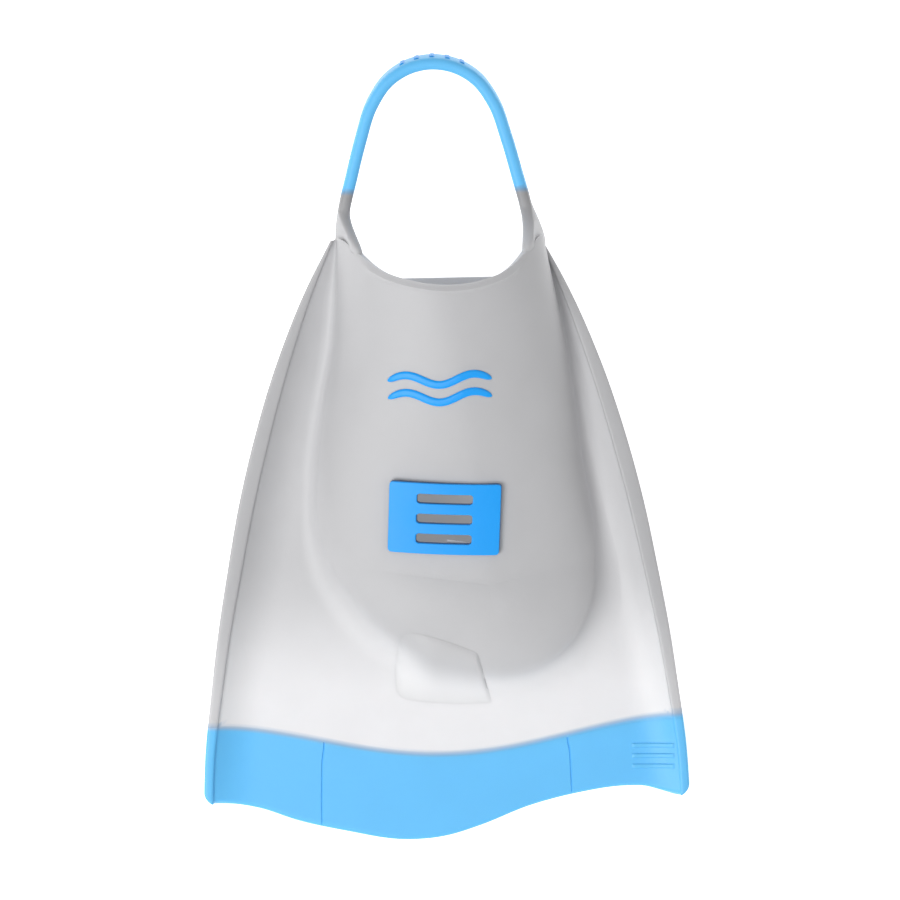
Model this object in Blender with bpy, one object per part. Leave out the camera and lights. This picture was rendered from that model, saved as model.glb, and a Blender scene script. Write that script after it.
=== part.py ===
"""Swim training fin for a right foot: a closed foot pocket, two deep side rails, a short blade with a
coloured three-panel tip, and a heel strap. The fin lies on its sole. +Z is up, +Y runs to the heel,
+X is the big-toe side, and the origin is on the floor under the middle of the fin's outline.

The real fin is moulded in coloured shots of silicone. Each shot, and each length of the moulding
that bends on its own, is one solid here. Neighbouring solids face each other across SEAM.
"""

import math

import bmesh
import bpy
import numpy as np
from mathutils import Matrix, Vector
from mathutils.bvhtree import BVHTree

MM = 0.001

# Driving dimensions.
WALL = 4.0 * MM  # the foot pocket's wall
SOLE = 7.0 * MM  # thickness under the foot
SEAM = 0.3 * MM  # gap between neighbouring solids
SOLE_CHAMFER = 2.0 * MM
SOLE_CORNER = 3.0 * MM  # how much of each heel corner of the sole is cut away
SOLE_HEEL_X = (46.0, 30.0, -24.0, -42.0)  # corners of its heel end, in millimetres
SOLE_END_Y = 84.0 * MM  # heel end of the sole
HEEL_FLARE = 7.5 * MM  # how far the side walls reach past the sole at the strap's height
LIP_Y = 76.6 * MM  # middle of the instep opening's edge
GROOVE_X = 58.0 * MM  # the two flex grooves in the tip
GROOVE = 0.8 * MM  # their width

# Rails and the sweep of the blade into them.
RAIL_EDGE = 1.0 * MM  # chamfer along a rail
SWEEP = 20.0 * MM  # how far the blade's upward sweep reaches in from a rail
UNDER_SWEEP = 13.0 * MM
SWEEP_POWER = 2.4
SWEEP_STEP = 1.5 * MM  # the sweep ends this far inside the rail's top and bottom
RAIL_END_Y = -165.4 * MM
CORNER = 6.0 * MM  # radius of the tip's outer corners
CORNER_ANGLE = math.radians(60)  # part of that arc that the rail itself follows

# Joints. Each hinge's axis runs along X, and the band slides along the raised strap.
BLADE_FLEX_Y, BLADE_FLEX_Z = -119.0 * MM, 11.4 * MM
TIP_FLEX_Y, TIP_FLEX_Z = -136.0 * MM, 9.6 * MM
STRAP_Y, STRAP_Z = 105.0 * MM, 47.0 * MM
BEND_GAP = 0.5 * MM  # half the gap at a bend's axis
BEND_SLANT = math.tan(math.radians(10.5))  # how fast that gap opens above and below the axis
BEND_FADE = 8.0 * MM  # length over which a solid makes way for that gap

# Strap. Its middle line is drawn flat and then raised towards the heel.
STRAP_LINE = (
    (43.9, 88), (43.6, 105), (42.2, 115), (38.4, 130), (33.8, 147), (27.9, 164), (20.0, 175),
    (10.4, 180.8), (0, 182.7),
)
STRAP_THICK = 5.6 * MM
STRAP_WIDTH = 18.0 * MM
STRAP_EDGE = 1.4 * MM
STRAP_RISE = math.radians(14)
ARM_ROOT = 12.0 * MM  # radius of an arm's round root
ARM_END_Y = 121.5 * MM  # where the white arms meet the blue band

# Vent plate and its slots.
VENT_CENTRE = Vector((1.8 * MM, -29.5 * MM))
VENT_SIZE = (52.0 * MM, 33.0 * MM)
VENT_TURN = math.radians(-3)
VENT_THICK = 2.0 * MM
SLOT_SIZE = (26.0 * MM, 3.8 * MM)
SLOT_PITCH = 9.3 * MM
SLOTS = 3
WINDOW_SIZE = (34.0 * MM, 26.0 * MM)  # the opening in the upper under the plate
WINDOW_LEVELS = (25.0 * MM, 90.0 * MM)

# Wave mark on the instep, which stands proud of the upper.
WAVE_CENTRE = Vector((0.6 * MM, 30.0 * MM))
WAVE_LENGTH, WAVE_WIDTH = 48.0 * MM, 3.6 * MM
WAVE_HEIGHT, WAVE_PITCH = 2.4 * MM, 8.0 * MM
WAVES, WAVE_CYCLES = 2, 1.5
MARK_THICK = 0.9 * MM

# Raised grip bars behind the heel and on the tip's big-toe panel.
BAR_WIDTH, BAR_THICK = 2.2 * MM, 0.9 * MM
HEEL_BARS, HEEL_BAR_PITCH, HEEL_BAR_LENGTH = 5, 6.5 * MM, 11.0 * MM
TIP_BARS, TIP_BAR_PITCH, TIP_BAR_LENGTH = 3, 5.0 * MM, 20.0 * MM
TIP_BAR_CENTRE = Vector((98.5 * MM, -146.0 * MM))

WHITE = ("silicone_white", (0.62, 0.62, 0.63, 1.0), 0.42)
BLUE = ("silicone_blue", (0.16, 0.56, 1.0, 1.0), 0.40)
DEEP_BLUE = ("silicone_deep_blue", (0.05, 0.44, 0.96, 1.0), 0.38)

BODIES = {
    "foot_pocket": Vector((0, 0, 0)),
    "blade": Vector((0, BLADE_FLEX_Y, BLADE_FLEX_Z)),
    "blade_tip": Vector((0, TIP_FLEX_Y, TIP_FLEX_Z)),
    "strap_arms": Vector((0, STRAP_Y, STRAP_Z)),
    "heel_band": Vector((0, STRAP_Y, STRAP_Z)),
}
CARRIED_BY = {
    "blade": "foot_pocket", "blade_tip": "blade", "strap_arms": "foot_pocket", "heel_band": "strap_arms",
}


def smooth(at, value):
    """A smooth function that passes through the rows of value at the places in at."""
    slope = np.gradient(value, at, axis=0)

    def read(place):
        i = int(np.clip(np.searchsorted(at, place) - 1, 0, len(at) - 2))
        span = at[i + 1] - at[i]
        t = min(max((place - at[i]) / span, 0.0), 1.0)
        ease = 3 * t**2 - 2 * t**3
        bend = (t**3 - 2 * t**2 + t) * slope[i] + (t**3 - t**2) * slope[i + 1]
        return (1 - ease) * value[i] + ease * value[i + 1] + span * bend

    return read


def curve(*knots):
    """A smooth function through (place, value) knots in millimetres; it takes and returns metres."""
    table = np.array(knots, float) * MM
    return smooth(table[:, 0], table[:, 1])


# Side view: heights along the fin, as (y, z).
rail_top = curve((-168, 14.5), (-113, 23), (-55, 31), (2, 38.5), (60, 46), (100, 51))
rail_bottom = curve((42, 0), (54, 1.2), (66, 7), (80, 21), (92, 36), (100, 44))  # flat up to the first
web_top = curve((-185, 8.4), (-150, 10.4), (-113, 14.5), (-55, 21), (2, 27.5), (50, 34.5), (100, 46))
web_thick = curve((-185, 3.0), (-150, 3.8), (-113, 5), (100, 5))
crest_height = curve((-116, 28), (-98, 32.5), (-75, 37.5), (-40, 46), (0, 57.5), (40, 70), (77, 80))

# Plan view: half width over the rails as (y, x), the crest's line as (y, x), the tip as (x, y).
rail_x = curve(
    (-166, 115.8), (-141, 114.3), (-113, 110.8), (-84, 106.7), (-55, 101.5), (-26, 95.8),
    (2, 88.8), (44, 75.3), (80, 59.7), (100, 48.8),
)
rail_thick = curve((-166, 4.5), (70, 4.5), (84, 3.2), (100, 1.0))
crest_x = curve((-62, 22), (0, 14), (77, 6))
tip_edge = curve(
    (-112, -165), (-97, -165.6), (-86, -167.9), (-70, -173.7), (-47, -179.4), (-20, -184.1),
    (0, -182.6), (15, -178.1), (38, -169.1), (61, -163.3), (84, -160.4), (92, -160.7),
    (100, -163), (107, -165.2), (112, -165.4),
)
# The pocket's outline where it meets the web, from the left of the heel round the toes.
POCKET_OUTLINE = (
    (-45.8, 94), (-50.2, 50), (-56.7, 16), (-60.2, -10), (-60.6, -36), (-56.5, -54), (-47, -70),
    (-34, -86), (-17, -98), (3, -107), (22, -112), (38, -110.5), (54, -103), (67, -90),
    (74, -73), (75, -52), (72.5, -32), (67.3, -2), (64, 25), (58.8, 57), (49.5, 94),
)
TOE_POINT = 10  # the outline's foremost point
SPINE_END = -62.0 * MM  # the toe's meridians all meet here
LIP_CORNER = 0.15  # share of the opening's edge, at each side, that lies straight across
SIDE_END = -50.0 * MM  # the outline's sides, whose meridians run straight across, end here
FULLNESS = (1.9, 2.25)  # how square the upper's little-toe and big-toe sides are; 2 is an ellipse


def path_through(points):
    """A smooth path through (x, y) points in millimetres, by the length run, and that length at each."""
    table = np.array(points, float) * MM
    steps = np.linalg.norm(np.diff(table, axis=0), axis=1)
    length = np.concatenate([[0.0], np.cumsum(steps)])
    return smooth(length, table), length


pocket_loop, pocket_length = path_through(POCKET_OUTLINE)
strap_loop, strap_length = path_through([(-x, y) for x, y in STRAP_LINE] + list(STRAP_LINE[-2::-1]))


def colour_edge(x):
    """Y of the line where the white blade turns blue."""
    return -144.4 * MM + 8.3 * MM * (1 - math.cos(math.pi * x / (120 * MM)))


def notch(z, axis_z):
    """Half the gap between two lengths of the moulding at a bend."""
    return BEND_GAP + BEND_SLANT * abs(z - axis_z)


def material(spec):
    name, colour, roughness = spec
    made = bpy.data.materials.get(name)
    if made is None:
        made = bpy.data.materials.new(name)
        made.use_nodes = True
        shader = made.node_tree.nodes["Principled BSDF"]
        shader.inputs["Base Color"].default_value = colour
        shader.inputs["Roughness"].default_value = roughness
        shader.inputs["Metallic"].default_value = 0.0
    return made


def make_bodies():
    """One empty for each moving length of the fin, on its bend's axis."""
    empties = {}
    for name, place in BODIES.items():
        empty = bpy.data.objects.new(name + "_body", None)
        bpy.context.scene.collection.objects.link(empty)
        carrier = CARRIED_BY.get(name)
        if carrier:
            empty.parent = empties[carrier]
        empty.location = place - BODIES.get(carrier, Vector((0, 0, 0)))
        empties[name] = empty
    return empties


def solid(name, points, faces, look, empty, sharp=35):
    """One object on its body's empty, from points in the fin's own frame, facing outwards."""
    place = BODIES[empty.name.removesuffix("_body")]
    mesh = bpy.data.meshes.new(name)
    mesh.from_pydata([Vector(p) - place for p in points], [], faces)
    shape = bmesh.new()
    shape.from_mesh(mesh)
    bmesh.ops.remove_doubles(shape, verts=shape.verts[:], dist=0.01 * MM)
    bmesh.ops.recalc_face_normals(shape, faces=shape.faces[:])
    if shape.calc_volume(signed=True) < 0:
        bmesh.ops.reverse_faces(shape, faces=shape.faces[:])
    shape.to_mesh(mesh)
    shape.free()
    mesh.shade_smooth()
    mesh.set_sharp_from_angle(angle=math.radians(sharp))
    mesh.materials.append(material(look))
    made = bpy.data.objects.new(name, mesh)
    made.parent = empty
    bpy.context.scene.collection.objects.link(made)
    return made


def slab_faces(rows, columns, skip=()):
    """Faces of the closed solid between two grids; the cells in skip are open right through."""
    back = rows * columns
    faces, edges = [], set()
    for i in range(rows - 1):
        for j in range(columns - 1):
            if (i, j) in skip:
                continue
            near, far = i * columns + j, (i + 1) * columns + j
            loop = [near, far, far + 1, near + 1]
            faces.append(loop)
            faces.append([back + v for v in reversed(loop)])
            edges.update(zip(loop, loop[1:] + loop[:1]))
    walls = [(b, a, back + a, back + b) for a, b in sorted(edges) if (b, a) not in edges]
    return faces + walls


def slab(name, front, back, look, empty, skip=()):
    points = [p for row in front for p in row] + [p for row in back for p in row]
    return solid(name, points, slab_faces(len(front), len(front[0]), skip), look, empty)


# --- Foot pocket -------------------------------------------------------------------------------

def place_at(path, low, high, y):
    """The length along a path, between low and high, where it crosses y."""
    for _ in range(40):
        middle = (low + high) / 2
        if (path(middle)[1] > y) == (path(low)[1] > y):
            low = middle
        else:
            high = middle
    return (low + high) / 2


def outline_at(y, side):
    """Where the pocket's outline crosses y, on the little-toe side (-1) or the big-toe side (+1)."""
    end = pocket_length[0 if side < 0 else -1]
    return place_at(pocket_loop, end, pocket_length[TOE_POINT], y)


def meridian(station, fullness, steps=8):
    """Points from the pocket's lower edge, up its wall and over to its crest."""
    base, side, top = station
    foot = web_top(side.y)
    points = [Vector((*base, SOLE + SEAM)), Vector((*base.lerp(side, 0.75), (SOLE + foot) / 2))]
    for k in range(steps + 1):
        angle = math.pi / 2 * k / steps
        inward = 1 - max(math.cos(angle), 0.0) ** (2 / fullness)
        upward = math.sin(angle) ** (2 / fullness)
        rounded = math.sin(math.pi / 2 * max(inward - LIP_CORNER, 0) / (1 - LIP_CORNER))
        forward = inward + (rounded - inward) * (side.y - base.y) / HEEL_FLARE
        x = side.x + (top.x - side.x) * inward
        y = side.y + (top.y - side.y) * forward
        points.append(Vector((x, y, foot + (top.z - foot) * upward)))
    return points


def crest_point(y):
    return Vector((crest_x(y), y, crest_height(y)))


def stations(side, sides=9, toes=8):
    """Places round one side, heel to toe: on the sole's rim, at the web and on the crest."""
    places = []
    for k in range(sides):
        y = SOLE_END_Y + (SIDE_END - SOLE_END_Y) * k / sides
        flare = HEEL_FLARE * (1 - k / sides) ** 2
        base = Vector(pocket_loop(outline_at(y, side)))
        wall = Vector(pocket_loop(outline_at(y + flare, side)))
        places.append((base, wall, crest_point(LIP_Y + (SPINE_END - LIP_Y) * k / sides)))
    turn = outline_at(SIDE_END, side)
    for k in range(toes + 1):
        base = Vector(pocket_loop(turn + (pocket_length[TOE_POINT] - turn) * k / toes))
        places.append((base, base, crest_point(SPINE_END)))
    return places


def upper_meridians():
    left = [meridian(station, FULLNESS[0]) for station in stations(-1)]
    right = [meridian(station, FULLNESS[1]) for station in stations(1)]
    return left + right[-2::-1]


def pocket_upper(empty):
    """The closed upper: an open surface thickened inwards, with a window under the vent plate."""
    lines = upper_meridians()
    columns = len(lines[0])
    faces = []
    for i in range(len(lines) - 1):
        for j in range(columns - 1):
            corner = i * columns + j
            faces.append((corner, corner + 1, corner + columns + 1, corner + columns))
    made = solid("pocket_upper", [p for line in lines for p in line], faces, WHITE, empty)
    wall = made.modifiers.new("wall", "SOLIDIFY")
    wall.thickness = WALL
    wall.offset = -1
    window = made.modifiers.new("window", "BOOLEAN")
    window.object = window_cutter(empty)
    return made


def window_cutter(empty):
    """A block that cuts the upper open under the vent plate, and nothing below it."""
    turn = Matrix.Rotation(VENT_TURN, 2)
    rows = []
    for x in (-WINDOW_SIZE[0] / 2, WINDOW_SIZE[0] / 2):
        rows.append([VENT_CENTRE + turn @ Vector((x, y)) for y in (-WINDOW_SIZE[1] / 2, WINDOW_SIZE[1] / 2)])
    low = [[Vector((*p, WINDOW_LEVELS[0])) for p in row] for row in rows]
    high = [[Vector((*p, WINDOW_LEVELS[1])) for p in row] for row in rows]
    cutter = slab("vent_window_cutter", high, low, WHITE, empty)
    cutter.hide_render = True
    cutter.display_type = "WIRE"
    return cutter


def sole(empty):
    """The flat sole, chamfered underneath. The upper's lower edge stands on it."""
    rim = [Vector((*pocket_loop(pocket_length[-1] * k / 48), 0)) for k in range(49)]
    rim = [p for p in rim if p.y < SOLE_END_Y - SOLE_CORNER]
    rim += [Vector((x * MM, SOLE_END_Y, 0)) for x in SOLE_HEEL_X]
    middle = sum(rim, Vector()) / len(rim)
    levels = ((SOLE_CHAMFER, 0.0), (0.0, SOLE_CHAMFER), (0.0, SOLE))
    points = []
    for inset, z in levels:
        for p in rim:
            inward = (middle - p).normalized() * inset
            points.append(p + inward + Vector((0, 0, z)))
    count = len(rim)
    faces = [tuple(range(count)), tuple(range(2 * count, 3 * count))]
    for level in range(2):
        for k in range(count):
            after = (k + 1) % count
            low = level * count
            faces.append((low + k, low + after, low + count + after, low + count + k))
    solid("sole", points, faces, WHITE, empty)


def surface_of(item):
    """A function that gives the height of the top of an object's uncut mesh at (x, y)."""
    shape = bmesh.new()
    shape.from_mesh(item.data)
    tree = BVHTree.FromBMesh(shape)
    shape.free()
    place = BODIES[item.parent.name.removesuffix("_body")]

    def read(x, y):
        hit = tree.ray_cast(Vector((x, y, 1)) - place, Vector((0, 0, -1)))[0]
        return hit.z + place.z

    return read


def draped(name, grid, height, thick, look, empty, skip=()):
    """A thin solid that follows the surface below a grid of (x, y) places."""
    back = [[Vector((*p, height(*p) + SEAM)) for p in row] for row in grid]
    front = [[p + Vector((0, 0, thick)) for p in row] for row in back]
    slab(name, front, back, look, empty, skip)


def vent_plate(empty, height):
    """The blue plate over the toes, with a row of slots cut through it."""
    half_slot = SLOT_SIZE[0] / VENT_SIZE[0] / 2
    columns = [-0.5, -0.38, -half_slot, -half_slot / 2, 0, half_slot / 2, half_slot, 0.38, 0.5]
    rows = [-0.5]
    for k in range(SLOTS):
        middle = (k - (SLOTS - 1) / 2) * SLOT_PITCH
        rows += [(middle - SLOT_SIZE[1] / 2) / VENT_SIZE[1], (middle + SLOT_SIZE[1] / 2) / VENT_SIZE[1]]
    rows.append(0.5)
    skip = []
    for i in range(1, 2 * SLOTS, 2):
        skip += [(i, j) for j in range(len(columns) - 1) if abs(columns[j] + columns[j + 1]) < 2 * half_slot]
    turn = Matrix.Rotation(VENT_TURN, 2)
    grid = []
    for row in rows:
        places = [Vector((column * VENT_SIZE[0], row * VENT_SIZE[1])) for column in columns]
        grid.append([VENT_CENTRE + turn @ place for place in places])
    draped("vent_plate", grid, height, VENT_THICK, DEEP_BLUE, empty, skip)


def wave_marks(empty, height, steps=14):
    """Two wavy ribs on the instep."""
    for k in range(WAVES):
        middle = WAVE_CENTRE + Vector((0, (k - (WAVES - 1) / 2) * WAVE_PITCH))
        grid = []
        for i in range(steps + 1):
            x = (i / steps - 0.5) * WAVE_LENGTH
            y = WAVE_HEIGHT * math.sin(2 * math.pi * WAVE_CYCLES * i / steps)
            half = WAVE_WIDTH / 2 * math.sqrt(max(1 - (2 * i / steps - 1) ** 8, 0.1))
            grid.append([middle + Vector((x, y - half)), middle + Vector((x, y + half))])
        draped(f"wave_mark_{k + 1}", grid, height, MARK_THICK, DEEP_BLUE, empty)


# --- Rails, web and blade ------------------------------------------------------------------------

def rail_inside(y):
    return rail_x(y) - rail_thick(y) - SEAM


def blade_top(x, y):
    """The blade's upper surface, which sweeps up into each rail."""
    near = min(max(1 - (rail_inside(y) - abs(x)) / SWEEP, 0), 1)
    return web_top(y) + (rail_top(y) - SWEEP_STEP - web_top(y)) * near**SWEEP_POWER


def blade_under(x, y):
    near = min(max(1 - (rail_inside(y) - abs(x)) / UNDER_SWEEP, 0), 1)
    flat = web_top(y) - web_thick(y)
    return flat - (flat - rail_bottom(y) - SWEEP_STEP) * near**SWEEP_POWER


def plate(name, grid, look, empty, trim):
    """A length of the blade over a grid of (x, y) places; trim moves each point clear of the bends."""
    front = [[trim(Vector((*p, blade_top(*p)))) for p in row] for row in grid]
    back = [[trim(Vector((*p, blade_under(*p)))) for p in row] for row in grid]
    slab(name, front, back, look, empty)


def opened(p, bend_y, axis_z, way):
    """A point moved off a bend to open the gap there. The shift fades out over BEND_FADE."""
    near = max(1 - abs(p.y - bend_y) / BEND_FADE, 0)
    return Vector((p.x, p.y + way * near * notch(p.z, axis_z), p.z))


def before_blade(p):
    return opened(p, BLADE_FLEX_Y, BLADE_FLEX_Z, 1)


def between_bends(p):
    return opened(opened(p, BLADE_FLEX_Y, BLADE_FLEX_Z, -1), colour_edge(p.x), TIP_FLEX_Z, 1)


def beyond_bends(p):
    return opened(p, colour_edge(p.x), TIP_FLEX_Z, -1)


WEB_STEPS = (0, 0.25, 0.45, 0.6, 0.72, 0.82, 0.9, 0.96, 1)  # from the pocket out to the rail


def web(name, side, empty):
    """The web between the pocket and one rail, from the heel round to the front of the toes."""
    corner = Vector((side * rail_inside(BLADE_FLEX_Y), BLADE_FLEX_Y))
    inner = [wall for _, wall, _ in stations(side)]
    front = Vector((inner[-1].x + side * SEAM, BLADE_FLEX_Y))
    inner[-1] = Vector((front.x, inner[-1].y))
    on_side = sum(1 for place in inner if place.y > SIDE_END)
    toes = len(inner) - on_side
    grid = []
    for k, near in enumerate(inner):
        turned = 2 * max(k - on_side, 0) / (toes - 1)
        down = near.y if k < on_side else SIDE_END + (BLADE_FLEX_Y - SIDE_END) * min(turned, 1)
        far = Vector((side * rail_inside(down), down))
        if turned > 1:
            far = corner.lerp(front, turned - 1)
        near = near + (far - near).normalized() * SEAM
        grid.append([near.lerp(far, step) for step in WEB_STEPS])
    plate(name, grid, WHITE, empty, before_blade)


def rail_section(y, side, outer=None):
    """The outer and inner faces of a rail where it crosses y, each from the bottom up."""
    outer = rail_x(y) if outer is None else outer
    inner = rail_x(y) - rail_thick(y)
    low, high = rail_bottom(y), rail_top(y)
    edge = min(RAIL_EDGE, 0.3 * (outer - inner), 0.3 * (high - low))
    middle = min(max(BLADE_FLEX_Z, low + 2 * edge), high - 2 * edge)
    heights = (low, low + edge, middle, high - edge, high)
    insets = (edge, 0, 0, 0, edge)
    front = [Vector((side * (outer - inset), y, z)) for inset, z in zip(insets, heights)]
    back = [Vector((side * (inner + inset), y, z)) for inset, z in zip(insets, heights)]
    return front, back


def rail(name, side, places, look, empty, trim):
    sections = [rail_section(y, side) for y in places]
    front = [[trim(p) for p in section[0]] for section in sections]
    back = [[trim(p) for p in section[1]] for section in sections]
    slab(name, front, back, look, empty)


def tip_rail(name, side, empty):
    """A rail's last length, whose outer corner is rounded in plan."""
    start = colour_edge(rail_x(TIP_FLEX_Y))
    centre_y = RAIL_END_Y + CORNER
    sections = [rail_section(start + (centre_y - start) * k / 5, side) for k in range(6)]
    for k in range(1, 5):
        angle = CORNER_ANGLE * k / 4
        y = centre_y - CORNER * math.sin(angle)
        sections.append(rail_section(y, side, rail_x(centre_y) - CORNER * (1 - math.cos(angle))))
    front = [[beyond_bends(p) for p in section[0]] for section in sections]
    back = [[beyond_bends(p) for p in section[1]] for section in sections]
    slab(name, front, back, BLUE, empty)


def rails(bodies):
    seam = colour_edge(rail_x(TIP_FLEX_Y))
    root = [y * MM for y in (100, 92, 84, 75, 66, 52, 40, 20, 0, -25, -50, -75, -98)] + [BLADE_FLEX_Y]
    for side, hand in ((-1, "left"), (1, "right")):
        rail(f"rail_{hand}_root", side, root, WHITE, bodies["foot_pocket"], before_blade)
        rail(f"rail_{hand}_mid", side, [BLADE_FLEX_Y, seam], WHITE, bodies["blade"], between_bends)
        tip_rail(f"rail_{hand}_tip", side, bodies["blade_tip"])


def panel(name, low, high, columns, rows, start, end, look, empty, trim):
    """A length of the blade between two places across it and two lines along it."""
    grid = []
    for i in range(rows + 1):
        row = []
        for j in range(columns + 1):
            x = low + (high - low) * j / columns
            y = start(x) + (end(x) - start(x)) * i / rows
            row.append(Vector((x * rail_inside(y) / rail_inside(TIP_FLEX_Y), y)))
        grid.append(row)
    plate(name, grid, look, empty, trim)


def blade_panels(bodies):
    """The white blade, then the blue tip in three panels with a flex groove between each two."""
    reach = rail_inside(TIP_FLEX_Y)
    outer, inner = GROOVE_X + GROOVE / 2, GROOVE_X - GROOVE / 2
    empty = bodies["blade"]
    panel("blade_panel", -reach, reach, 40, 3, lambda x: BLADE_FLEX_Y, colour_edge, WHITE, empty, between_bends)
    for name, low, high, columns in (
        ("tip_left_panel", -reach, -outer, 11),
        ("tip_centre_panel", -inner, inner, 18),
        ("tip_right_panel", outer, reach, 11),
    ):
        panel(name, low, high, columns, 5, colour_edge, tip_edge, BLUE, bodies["blade_tip"], beyond_bends)


# --- Heel strap ------------------------------------------------------------------------------------

def strap_place(length, half):
    """A place on the flat strap: its point, its outward direction and half the strap's width there."""
    middle = Vector(strap_loop(length))
    ahead = Vector(strap_loop(length + MM / 2)) - Vector(strap_loop(length - MM / 2))
    return middle, Vector((-ahead.y, ahead.x)).normalized(), half


def strap_at(y, side):
    end = 0.0 if side < 0 else strap_length[-1]
    return place_at(strap_loop, end, strap_length[len(STRAP_LINE) - 1], y)


def raised(p, up):
    """A point of the flat strap, up from its middle line, with the strap raised towards the heel."""
    y = STRAP_Y + (p.y - STRAP_Y) * math.cos(STRAP_RISE) - up * math.sin(STRAP_RISE)
    z = STRAP_Z + (p.y - STRAP_Y) * math.sin(STRAP_RISE) + up * math.cos(STRAP_RISE)
    return Vector((p.x, y, z))


def strap_solid(name, places, look, empty):
    """A length of the strap, with its four long edges rounded off."""
    front, back = [], []
    for middle, outward, half in places:
        row_front, row_back = [], []
        for step, inset in ((-1, STRAP_EDGE), (-1, 0), (0, 0), (1, 0), (1, STRAP_EDGE)):
            up = step * (half - (STRAP_EDGE if inset == 0 else 0))
            out = STRAP_THICK / 2 - inset
            row_front.append(raised(middle + outward * out, up))
            row_back.append(raised(middle - outward * out, up))
        front.append(row_front)
        back.append(row_back)
    slab(name, front, back, look, empty)


def arm_places(side):
    """An arm from its round root, which turns on the strap's axis, to the blue band."""
    places = []
    for k in range(1, 6):
        angle = math.pi / 2 * k / 5
        y = STRAP_Y - ARM_ROOT * math.cos(angle)
        places.append(strap_place(strap_at(y, side), ARM_ROOT * math.sin(angle)))
    for k in range(1, 5):
        y = STRAP_Y + (ARM_END_Y - SEAM / 2 - STRAP_Y) * k / 4
        half = STRAP_WIDTH / 2 + (ARM_ROOT - STRAP_WIDTH / 2) * (1 - k / 4) ** 2
        places.append(strap_place(strap_at(y, side), half))
    return places


def band_places(steps=34):
    start, end = strap_at(ARM_END_Y + SEAM / 2, -1), strap_at(ARM_END_Y + SEAM / 2, 1)
    return [strap_place(start + (end - start) * k / steps, STRAP_WIDTH / 2) for k in range(steps + 1)]


def heel_bars(empty):
    """Grip bars on the band's outer face."""
    apex = strap_length[-1] / 2
    for k in range(HEEL_BARS):
        shift = (k - (HEEL_BARS - 1) / 2) * HEEL_BAR_PITCH
        front, back = [], []
        for step in (-0.5, 0.5):
            place, outward, _ = strap_place(apex + shift + step * BAR_WIDTH, 0)
            low = STRAP_THICK / 2 + SEAM
            ups = (-HEEL_BAR_LENGTH / 2, 0, HEEL_BAR_LENGTH / 2)
            back.append([raised(place + outward * low, up) for up in ups])
            front.append([raised(place + outward * (low + BAR_THICK), up) for up in ups])
        slab(f"heel_grip_bar_{k + 1}", front, back, DEEP_BLUE, empty)


def tip_bars(empty, height):
    """Grip bars on the tip's big-toe panel, where the blade sweeps up into the rail."""
    for k in range(TIP_BARS):
        y = TIP_BAR_CENTRE.y + (k - (TIP_BARS - 1) / 2) * TIP_BAR_PITCH
        grid = []
        for i in range(5):
            x = TIP_BAR_CENTRE.x + (i / 4 - 0.5) * TIP_BAR_LENGTH
            grid.append([Vector((x, y - BAR_WIDTH / 2)), Vector((x, y + BAR_WIDTH / 2))])
        draped(f"tip_grip_bar_{k + 1}", grid, height, BAR_THICK, DEEP_BLUE, empty)


def strap(arms, band):
    strap_solid("strap_arm_left", arm_places(-1), WHITE, arms)
    strap_solid("strap_arm_right", arm_places(1), WHITE, arms)
    strap_solid("strap_band", band_places(), BLUE, band)
    heel_bars(band)


def main():
    for item in list(bpy.data.objects):
        bpy.data.objects.remove(item, do_unlink=True)
    bodies = make_bodies()
    pocket = bodies["foot_pocket"]
    upper = pocket_upper(pocket)
    sole(pocket)
    web("web_left", -1, pocket)
    web("web_right", 1, pocket)
    rails(bodies)
    blade_panels(bodies)
    strap(bodies["strap_arms"], bodies["heel_band"])
    vent_plate(pocket, surface_of(upper))
    wave_marks(pocket, surface_of(upper))
    tip_bars(bodies["blade_tip"], surface_of(bpy.data.objects["tip_right_panel"]))


main()
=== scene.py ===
import math

import bmesh
import bpy
import numpy as np
from mathutils import Matrix, Vector
from mathutils.bvhtree import BVHTree


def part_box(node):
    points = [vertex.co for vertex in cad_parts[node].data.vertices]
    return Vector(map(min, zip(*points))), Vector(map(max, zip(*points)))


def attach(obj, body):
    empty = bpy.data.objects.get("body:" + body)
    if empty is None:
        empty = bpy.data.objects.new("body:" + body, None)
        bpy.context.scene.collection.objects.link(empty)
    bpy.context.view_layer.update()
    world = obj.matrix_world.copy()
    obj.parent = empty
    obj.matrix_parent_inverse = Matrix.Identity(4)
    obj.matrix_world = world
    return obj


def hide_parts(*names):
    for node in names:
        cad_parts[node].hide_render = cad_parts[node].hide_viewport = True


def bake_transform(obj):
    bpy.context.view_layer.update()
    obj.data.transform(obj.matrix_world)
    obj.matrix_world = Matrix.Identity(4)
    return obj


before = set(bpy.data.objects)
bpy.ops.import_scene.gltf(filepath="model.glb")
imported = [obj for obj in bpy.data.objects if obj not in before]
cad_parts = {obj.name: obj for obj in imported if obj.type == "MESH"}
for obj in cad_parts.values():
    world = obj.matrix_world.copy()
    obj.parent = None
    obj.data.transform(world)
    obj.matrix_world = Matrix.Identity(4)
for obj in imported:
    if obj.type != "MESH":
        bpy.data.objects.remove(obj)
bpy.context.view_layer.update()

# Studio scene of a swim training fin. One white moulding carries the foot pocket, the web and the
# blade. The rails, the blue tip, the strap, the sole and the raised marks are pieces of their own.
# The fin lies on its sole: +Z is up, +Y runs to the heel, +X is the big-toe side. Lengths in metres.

MM = 0.001

# Places that come from the frame.
sole_low, sole_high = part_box("sole")
blade_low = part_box("blade_panel")[0]
vent_low, vent_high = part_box("vent_plate")
wave_low, wave_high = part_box("wave_mark_1")[0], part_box("wave_mark_2")[1]

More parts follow.
